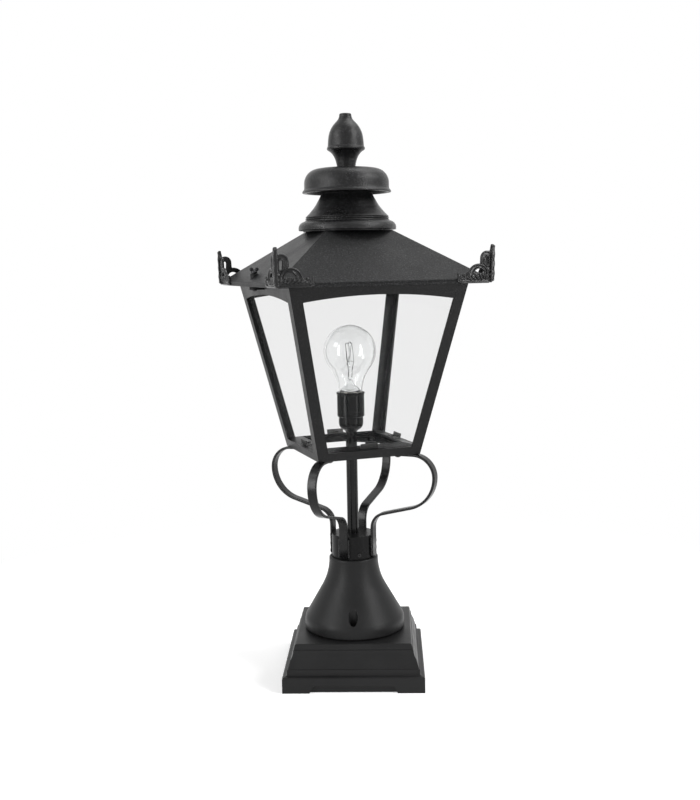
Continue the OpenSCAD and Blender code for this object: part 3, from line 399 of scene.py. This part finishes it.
# Stem of the bulb: a pressed glass flare sealed in the neck, with a thin rod up the middle that
# ends in a button. The flare is a thin wall, open below.
stem_line = np.concatenate([
    [[tip_r, 14.6], [1.6, 14.2]],
    arc_points(11.4, 13.4, 8.9, -176, -118, 12),
    [[9.6, 2.6], [11.9, 0.3], [12.6, 0.3], [12.6, 0.9], [10.2, 3.0]],
    arc_points(11.4, 13.4, 8.1, -118, -176, 12),
    [[2.9, 18], [2.5, 22], [1.5, 25], [1.25, 28], [1.25, 51]],
    [[1.9, 53], [2.3, 54.4], [2.2, 55.8], [1.3, 57.2], [tip_r, 57.6]]])
stem_line[:, 1] += rim
stem = skin("bulb_stem", revolved(stem_line, 48), bulb_glass, "head")
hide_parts("bulb_stem")

# Filament: a squirrel cage of fine wire on hooks from the rod, two leads out of the press and two
# small beads.
wires = []
hooks, cage_r, cage_foot, cage_tall = 6, 4.6, 34.5, 21
wire_r, lead_r, press = 0.26, 0.33, 17
turns = np.linspace(0, hooks - 1, 201)
step = turns % 1
leg = np.floor(turns + 1e-9)
sway = np.where(leg % 2 == 0, step, 1 - step)
around = np.radians(30 + 60 * turns - head_turn)
rise = cage_foot + cage_tall * (0.5 - 0.5 * np.cos(math.pi * sway))
cage = np.stack([cage_r * np.cos(around), cage_r * np.sin(around), rim + rise], -1)
wires.append(rod_along(cage, wire_r, 6))
for k in range(hooks):
    a = math.radians(30 + 60 * k - head_turn)
    high = rim + cage_foot + (0 if k % 2 == 0 else cage_tall)
    out = np.linspace(0.6, 4.7, 12)
    drop = 0.5 * np.sin(out / 4.7 * math.pi)
    wires.append(rod_along(np.stack([out * math.cos(a), out * math.sin(a), high + drop], -1), wire_r, 6))
for hand, top, angle in ((-1, 41, 208), (1, cage_foot, 8)):
    t = np.linspace(0, 1, 24)
    start = hand * 1.2
    x = start + (cage_r * math.cos(math.radians(angle)) - start) * t ** 1.4
    y = cage_r * math.sin(math.radians(angle)) * t ** 1.4
    wires.append(rod_along(np.stack([x, y, rim + press + (top - press) * t], -1), lead_r, 6))
bead = revolved(arc_points(0, 0, 1, -89, 89, 9) * [0.75, 1.1], 12)
for bead_x, bead_z in ((-3.2, 32.0), (2.9, 27.0)):
    wires.append(bead + [bead_x, 0.4 * bead_x, rim + bead_z])
drawn_wire = plated_steel("drawn wire", (0.06, 0.057, 0.052), gloss=0.45)
filament = weld_up("filament_wires", wires, drawn_wire, "head")
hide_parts("filament")

# Roof: sheet folded to four slopes with a lip and a bead at the eaves, in a paint with a coarser
# texture than the frame's.
roof_black = sprayed_paint("textured black on the roof", (0.0045, 0.0046, 0.0048), gloss=0.42,
                           grain=1.7, relief=0.6, edge=0.8, shine=0.16, grain_glints=0.9)
finish_nodes(roof_black, "roof")

# Corner leaves: pierced wings cast in pairs and fixed on the corners of the eaves. One casting is
# drawn for the corner at +X +Y and turned to the others.
leaf_black = sprayed_paint("gloss black on the leaves", (0.003, 0.003, 0.0032), gloss=0.2,
                           grain=1.2, relief=0.08, edge=0.3, shine=0.4)


def surface_net(field, low, high, cell):
    """Points and quads of the surface where a field is zero. The field is sampled on a grid; every
    cell that the surface passes through holds one point, the mean of the crossings on its twelve
    edges, and every crossed grid edge becomes a quad between its four cells."""
    x, y, z = np.meshgrid(*[np.arange(a, b + cell, cell) for a, b in zip(low, high)], indexing="ij")
    f = field(x, y, z)
    shape = [n - 1 for n in f.shape]
    total, count = np.zeros(shape + [3]), np.zeros(shape)
    grid = np.stack(np.meshgrid(*[np.arange(n) for n in shape], indexing="ij"), -1)
    crossings = []
    for axis in range(3):
        a, b = [np.take(f, range(k, f.shape[axis] - 1 + k), axis) for k in (0, 1)]
        crossed = (a < 0) != (b < 0)
        crossings.append((crossed, a < 0))
        way = np.where(crossed, a / np.where(crossed, a - b, 1), 0)
        rest = [k for k in range(3) if k != axis]
        for p in (0, 1):
            for q in (0, 1):
                part = [slice(0, n) for n in shape]
                part[rest[0]] = slice(p, shape[rest[0]] + p)
                part[rest[1]] = slice(q, shape[rest[1]] + q)
                hit, step = crossed[tuple(part)], way[tuple(part)]
                spot = grid.astype(float)
                spot[..., axis] += step
                spot[..., rest[0]] += p
                spot[..., rest[1]] += q
                total += spot * hit[..., None]
                count += hit
    used = count > 0
    number = np.cumsum(used.ravel()).reshape(shape) - 1
    points = (total[used] / count[used][:, None]) * cell + np.asarray(low, float)
    quads = []
    for axis, (crossed, solid) in enumerate(crossings):
        rest = [k for k in range(3) if k != axis]
        core = [slice(None)] * 3
        core[rest[0]], core[rest[1]] = slice(1, -1), slice(1, -1)
        i = np.argwhere(crossed[tuple(core)])
        way_out = solid[tuple(core)][tuple(i.T)]
        ring = []
        for p, q in ((0, 0), (1, 0), (1, 1), (0, 1)):
            at = i.copy()
            at[:, rest[0]] += p
            at[:, rest[1]] += q
            ring.append(number[tuple(at.T)])
        ring = np.stack(ring, -1)
        flip = way_out if axis == 1 else ~way_out
        quads.append(np.where(flip[:, None], ring[:, ::-1], ring))
    return points, np.concatenate(quads).tolist()


def turned(points, angle):
    """Points turned round the Z axis by an angle in degrees."""
    cosine, sine = math.cos(math.radians(angle)), math.sin(math.radians(angle))
    x, y, z = points.T
    return np.stack([cosine * x - sine * y, sine * x + cosine * y, z], -1)


def merged(a, b, soft=0.5):
    """Two distances melted together: the least of both, with a fillet of the soft width."""
    h = np.clip(0.5 + 0.5 * (b - a) / soft, 0, 1)
    return b + (a - b) * h - soft * h * (1 - h)


def finger(s, t, p, q, r0, r1):
    """Distance to a round bar from p to q whose radius goes from r0 to r1."""
    dx, dy = q[0] - p[0], q[1] - p[1]
    h = np.clip(((s - p[0]) * dx + (t - p[1]) * dy) / (dx * dx + dy * dy), 0, 1)
    return np.hypot(s - p[0] - h * dx, t - p[1] - h * dy) - (r0 + (r1 - r0) * h)


def wing(s, t, w):
    """One wing of a leaf: S inward from the spine, T up, W out from its back. A plate with a
    rounded edge is cut by the outline and the eyes, and round bars run over it as raised ribs."""
    arch_mid = np.hypot(s - 18.5, t - 8.5)
    moon_mid = np.hypot(s - 17.6, t - 9.4)
    upper_eye = np.hypot(s - 4.5, t - 11.6)
    lower_eye = np.hypot(s - 4.3, t - 6.8)
    lobe_top, lobe_foot = (9.3, 27.1), (9.8, 13)

    lobe = finger(s, t, lobe_top, lobe_foot, 7.2, 7.0)
    spear = finger(s, t, (2.7, 39.2), (3.4, 28), 1.9, 3.4)
    arch = np.maximum(arch_mid - 12.3, 2.5 - t)
    bar = finger(s, t, (3.9, 3.1), (38, 3.1), 2.5, 2.7)
    ramp = finger(s, t, (27.5, 9.5), (33, 4.5), 4.5, 2.6)
    hook = finger(s, t, (40.3, 3.9), (41.7, 11.2), 2.7, 0.7)
    stand = finger(s, t, (3.2, 4.6), (3.4, 30), 3.2, 3.3)
    sheet = merged(merged(merged(lobe, arch, 0.8), merged(bar, ramp, 1)), merged(merged(hook, spear), stand))

    slot = finger(s, t, (7.9, 20.1), (8.3, 26.5), 1.35, 1.45)
    moon = np.maximum(moon_mid - 6.1, 10.9 - t + 0.5 * np.cos(s * 1.05 - 18.4))
    eyes = np.minimum(upper_eye - 1.15, lower_eye - 1.0)
    eyes = np.minimum(eyes, np.hypot(s - 33.4, t - 9.0) - 1.2)
    opened = np.minimum(np.minimum(slot, moon), eyes)

    round_off = 0.6
    flat = np.maximum(sheet, -opened)
    thick = 2.3 - 0.6 * np.clip((-flat - 0.9) / 1.1, 0, 1)
    a, b = flat + round_off, np.abs(w - thick / 2) - thick / 2 + round_off
    plate = np.minimum(np.maximum(a, b), 0) + np.hypot(np.maximum(a, 0), np.maximum(b, 0)) - round_off

    rims = [(np.abs(arch_mid - 11.4), 0.95, 2.1, t > 5.5),
            (np.abs(moon_mid - 7.1), 0.75, 2.1, t > 9.5),
            (np.abs(finger(s, t, lobe_top, lobe_foot, 6.3, 6.2)), 0.85, 2.1, t > 19),
            (np.abs(slot - 0.9), 0.55, 2.2, True),
            (np.abs(lower_eye - 1.8), 0.6, 2.1, True),
            (np.abs(upper_eye - 1.9), 0.5, 2.1, True)]
    veins = [((1.3, 5.2), (1.9, 38.5), 0.75, 2.1), ((3.2, 30), (2.9, 38.8), 0.7, 2.2),
             ((12.4, 20), (12.9, 26), 0.65, 1.8), ((3, 1.5), (37.5, 1.5), 0.85, 2.1),
             ((12.6, 9.0), (11.6, 5.4), 1.05, 2.2), ((16.6, 8.9), (14.4, 4.6), 1.05, 2.2),
             ((21.4, 8.0), (17.8, 4.4), 1.05, 2.2), ((26, 7.2), (21.6, 4.3), 0.95, 2.2),
             ((31.5, 6.2), (26, 4.2), 0.85, 2.1), ((7.6, 12.6), (9.4, 4.8), 0.8, 2.1)]
    veins = [(finger(s, t, p, q, 0, 0), r, up, True) for p, q, r, up in veins]
    curl = [(np.abs(finger(s, t, (39.2, 4.4), (41.6, 10.4), 1.4, 0.2)), 0.6, 2.1, True)]
    for away, r, up, where in rims + veins + curl:
        plate = merged(plate, np.where(where, np.hypot(away, w - up) - r, 9), 0.45)
    bead = np.sqrt((s - 35.6) ** 2 + (t - 8.9) ** 2 + (w - 1.7) ** 2) - 1.75
    return np.maximum(merged(plate, bead, 0.4), -opened)


def leaf(x, y, z):
    """Both wings of a corner leaf. Each leans out a little about its foot; the second is the first
    with x and y changed over, and a bar up the corner joins them."""
    foot, lean = 452.8, math.radians(1.5)
    back_face, spine_at, spine_r = 117.3, 122.0, 1.7
    z = z - foot
    both = 9.0
    for u, v in ((x - back_face, spine_at - y), (y - back_face, spine_at - x)):
        t = u * math.sin(lean) + z * math.cos(lean)
        w = u * math.cos(lean) - z * math.sin(lean)
        both = np.minimum(both, wing(v + t * math.sin(lean), t, w))
    h = np.clip((z - 3.6) / 35, 0, 1)
    along = spine_at - spine_r + z * math.sin(lean)
    spine = np.sqrt((x - along) ** 2 + (y - along) ** 2 + (z - 3.6 - 35 * h) ** 2)
    return merged(both, spine - (spine_r - 0.5 * h + 0.25 * np.cos(z * 0.62)), 0.6)


cell = 0.45
leaf_low, leaf_high = (74, 74, 451.6), (127.5, 127.5, 497.5)
points, quads = surface_net(leaf, leaf_low, leaf_high, cell)
for k, (side, corner) in enumerate(corners.items()):
    placed = turned(points, head_turn + corner - 45)
    casting = as_piece("leaf_casting_" + str(k), placed, quads, leaf_black, "roof")
    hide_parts("leaf_" + side)

# Hinges and the lock: plain butt hinges under the right eave, a lug and a wing screw on the left.
# The screw takes its place and its height from the frame.
finish_nodes(frame_black, "hinge_frame_leaves", "hinge_roof_leaves", "lock_lug")
finish_nodes(zinc, "hinge_pins")
screw_box = [np.array(c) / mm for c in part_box("thumb_screw")]
screw_x, screw_y = ((screw_box[0] + screw_box[1]) / 2)[:2]
wing_tall = 6.9
screw_foot, screw_head = screw_box[0][2], screw_box[1][2] - wing_tall


def wing_screw(x, y, z):
    """A threaded shank under a collar and a cone, with two ears that rise from it. The thread is a
    ridge whose height runs round with the angle, 0.8 mm a turn."""
    pitch = 0.8
    r, up = np.hypot(x - screw_x, y - screw_y), z - screw_head
    turn = ((z - screw_foot) / pitch - np.arctan2(y - screw_y, x - screw_x) / (2 * math.pi)) % 1
    ends = np.maximum(screw_foot - z, z - screw_head - 0.5)
    shank = np.maximum(r - 2.4 + 0.4 * np.abs(turn - 0.5), ends)
    collar = np.hypot(np.maximum(r - 3.1, 0), np.maximum(np.abs(up - 1.1) - 0.6, 0)) - 0.5
    cone = np.maximum(r - 2.9 + 0.35 * up, np.maximum(-up, up - 4.6))
    a = math.radians(head_turn + 20)
    u = np.abs((x - screw_x) * math.cos(a) + (y - screw_y) * math.sin(a))
    v = (y - screw_y) * math.cos(a) - (x - screw_x) * math.sin(a)
    ear = finger(u, up, (1.2, 2.4), (3.6, 4.4), 1.3, 2.3)
    ear = np.hypot(np.maximum(ear + 0.7, 0), np.maximum(np.abs(v) - 0.35, 0)) - 0.7
    return merged(np.minimum(shank, collar), merged(cone, ear, 0.8), 0.3)


room, fine_cell = 7.5, 0.2
screw_low = (screw_x - room, screw_y - room, screw_foot - 0.8)
screw_high = (screw_x + room, screw_y + room, screw_head + 8.3)
points, quads = surface_net(wing_screw, screw_low, screw_high, fine_cell)
blackened = plated_steel("blackened steel", (0.05, 0.05, 0.052), gloss=0.4)
screw = as_piece("wing_screw", points, quads, blackened, "thumb")
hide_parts("thumb_screw")

# Chimney and bridge: a flared cowl screwed on the roof, and the bar that the tie rod hangs from.
# The cowl is a sand casting, rougher than the rest.
cast_black = sprayed_paint("sand-cast black", (0.004, 0.004, 0.0042), gloss=0.3,
                           grain=1.5, relief=0.4, edge=0.5, shine=0.28, grain_glints=0.8)
finish_nodes(cast_black, "chimney")
finish_nodes(frame_black, "bridge", "cap_spacer")
finish_nodes(zinc, "chimney_screws", "tie_rod", "tie_nut")

# Rain cap and finial: the hollow cap over the cowl's mouth and the acorn screwed down on it. Both
# are turned, so each is one profile carried round.
def eased_line(points, times=2):
    """Rounds a profile: each corner is cut a quarter of the way along both lines that meet there."""
    points = np.asarray(points, float)
    for _ in range(times):
        a, b = points[:-1], points[1:]
        cut = np.stack([0.75 * a + 0.25 * b, 0.25 * a + 0.75 * b], 1).reshape(-1, 2)[1:-1]
        points = np.concatenate([points[:1], cut, points[-1:]])
    return points


cap_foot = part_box("rain_cap")[0].z / mm
lip_r, cap_r, cap_mouth, wall = 49.9, 47.6, 45.1, 2.5
rod_bore, cap_tall = 3.2, 28
shoulder_x, shoulder_z, shoulder_r = 31.6, 10.7, 16
crown_x, crown_z, crown_r = 10.5, -172, 200
over = np.concatenate([
    [[cap_mouth, 0.3], [45.4, 0], [49.3, 0], [lip_r, 0.6], [lip_r, 1.6], [lip_r - 0.9, 2.9]],
    [[cap_r + 0.5, 3.8], [cap_r, 5.2]],
    arc_points(shoulder_x, shoulder_z, shoulder_r, 0, 83, 16),
    arc_points(crown_x, crown_z, crown_r, 84, 91.2, 8)[:-1],
    [[rod_bore, cap_tall]]])
under = np.concatenate([
    [[rod_bore, cap_tall - wall]],
    arc_points(crown_x, crown_z, crown_r - wall, 91.2, 84, 8)[1:],
    arc_points(shoulder_x, shoulder_z, shoulder_r - wall, 83, 0, 16),
    [[cap_mouth, 5.2]]])
profile = np.concatenate([eased_line(over), eased_line(under)])
profile[:, 1] += cap_foot
cap = skin("rain_cap_spun", revolved(profile, 144), cast_black, "roof", looped=True)
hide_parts("rain_cap")

finial_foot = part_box("finial")[0].z / mm
stem_r, ring_r, acorn, bore = 10.25, 21.3, 20.0, 3.1
outline = [
    [bore, 19.6], [bore, 0.4], [3.5, 0], [stem_r - 0.3, 0], [stem_r, 0.3], [stem_r + 0.3, 2.4],
    [stem_r + 0.8, 4.9], [stem_r + 1.8, 8.8], [stem_r + 3.6, 12.8], [stem_r + 5.7, 15.7],
    [ring_r - 3.2, 17.7], [ring_r - 1.2, 18.8], [ring_r - 0.3, 19.6], [ring_r, 20.3],
    [ring_r, 21.3], [ring_r - 0.4, 22.2], [acorn + 0.5, 22.9], [acorn + 0.2, 23.4],
    [acorn + 0.2, 24.6], [acorn, 27], [acorn - 0.2, 29.5], [acorn - 0.8, 34.4],
    [acorn - 1.4, 37], [acorn - 2.2, 39.3], [acorn - 3.3, 41.8], [acorn - 4.6, 44.2],
    [acorn - 6.4, 46.7], [acorn - 8.6, 49.1], [acorn - 10.3, 50.9], [acorn - 11.8, 52.6],
    [acorn - 12.7, 54.5], [acorn - 13.1, 56], [acorn - 13.3, 57.9], [acorn - 13.5, 58.5],
    [acorn - 14.2, 58.95], [acorn - 15, 59], [tip_r, 59]]
profile = np.concatenate([[[tip_r, 19.6]], eased_line(outline)])
profile[:, 1] += finial_foot
finial = skin("finial_turned", revolved(profile, 128), cast_black, "roof")
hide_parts("finial")

# Studio: a pale seamless floor that keeps the object's shadow and fades to white away from it,
# five soft lamps and an even white surround.
def seen_rays(tree):
    """1 for rays from the camera, through glass or off a glossy face, and 0 for the others."""
    ray = wire_up(tree, "LightPath")
    seen = wire_up(tree, "Math", {"operation": "MAXIMUM"},
                   {0: ray.outputs["Is Camera Ray"], 1: ray.outputs["Is Transmission Ray"]})
    seen = wire_up(tree, "Math", {"operation": "MAXIMUM"},
                   {0: seen.outputs["Value"], 1: ray.outputs["Is Glossy Ray"]})
    return seen.outputs["Value"]


half = 6
floor_white = 0.93
floor_mesh = bpy.data.meshes.new("studio_floor")
floor_mesh.from_pydata([(-half, -half, 0), (half, -half, 0), (half, half, 0), (-half, half, 0)],
                       [], [(0, 1, 2, 3)])
floor = bpy.data.objects.new("studio_floor", floor_mesh)
bpy.context.scene.collection.objects.link(floor)
pale_floor, tree, face, place = blank_finish("pale floor")
face.inputs["Base Color"].default_value = (floor_white, floor_white, floor_white, 1)
face.inputs["Roughness"].default_value = 0.9
face.inputs["Specular IOR Level"].default_value = 0.1
face.inputs["Emission Color"].default_value = (1, 1, 1, 1)
seen = seen_rays(tree)
away = wire_up(tree, "VectorMath", {"operation": "LENGTH"}, {0: place})
far = wire_up(tree, "MapRange", {"From Min": 0.28, "From Max": 0.75}, {"Value": away.outputs["Value"]})
fade = wire_up(tree, "Math", {"operation": "MULTIPLY"}, {0: seen, 1: far.outputs["Result"]})
lift = wire_up(tree, "Math", {"operation": "MULTIPLY", 1: 0.4}, {0: seen})
tree.links.new(lift.outputs["Value"], face.inputs["Emission Strength"])
white = wire_up(tree, "Emission", {"Color": (1, 1, 1, 1), "Strength": 1.0})
blend = wire_up(tree, "MixShader", (), {0: fade.outputs["Value"], 1: face.outputs["BSDF"],
                                        2: white.outputs["Emission"]})
tree.links.new(blend.outputs["Shader"], tree.nodes["Material Output"].inputs["Surface"])
floor.data.materials.append(pale_floor)


def softbox(name, where, aim, wide, high, power):
    """A square soft lamp at a place, turned to look at a point."""
    data = bpy.data.lights.new(name, "AREA")
    data.shape = "RECTANGLE"
    data.size = wide
    data.size_y = high
    data.energy = power
    lamp = bpy.data.objects.new(name, data)
    bpy.context.scene.collection.objects.link(lamp)
    lamp.location = where
    lamp.rotation_euler = (Vector(aim) - Vector(where)).to_track_quat("-Z", "Y").to_euler()


softbox("left_soft_lamp", (-1.6, -0.6, 1.5), (0, 0, 0.4), wide=0.7, high=1.2, power=12)
softbox("left_strip_lamp", (-1.2, -1.05, 0.4), (0, 0, 0.35), wide=0.25, high=1.6, power=14)
softbox("right_strip_lamp", (1.3, -0.9, 0.4), (0, 0, 0.35), wide=0.2, high=1.6, power=11)
softbox("right_high_lamp", (1.75, -0.55, 1.75), (0, 0, 0.5), wide=0.5, high=0.8, power=24)
softbox("overhead_lamp", (0.9, 0.4, 2.7), (0, 0, 0.5), wide=1.2, high=1.4, power=22)
world = bpy.data.worlds.new("surround")
world.use_nodes = True
bpy.context.scene.world = world
tree = world.node_tree
back = tree.nodes["Background"]
back.inputs["Color"].default_value = (1, 1, 1, 1)
strength = wire_up(tree, "MapRange", {"To Min": 0.3, "To Max": 1.0}, {"Value": seen_rays(tree)})
tree.links.new(strength.outputs["Result"], back.inputs["Strength"])

# Camera: a little above the lantern's middle, turned 2 degrees to its left and looking 7.5
# degrees down.
picture_wide, focal_pixels, sensor = 700, 1054.4, 36
lens = bpy.data.cameras.new("camera")
lens.sensor_fit = "HORIZONTAL"
lens.sensor_width = sensor
lens.lens = focal_pixels * sensor / picture_wide
camera = bpy.data.objects.new("camera", lens)
bpy.context.scene.collection.objects.link(camera)
heading, tilt, roll = math.radians(2.1), math.radians(82.5), -0.019
turn = Matrix.Rotation(heading, 4, "Z") @ Matrix.Rotation(tilt, 4, "X") @ Matrix.Rotation(roll, 4, "Z")
camera.matrix_world = Matrix.Translation((0.0434, -1.2035, 0.4786)) @ turn
bpy.context.scene.camera = camera
bpy.context.scene.view_settings.view_transform = "Standard"
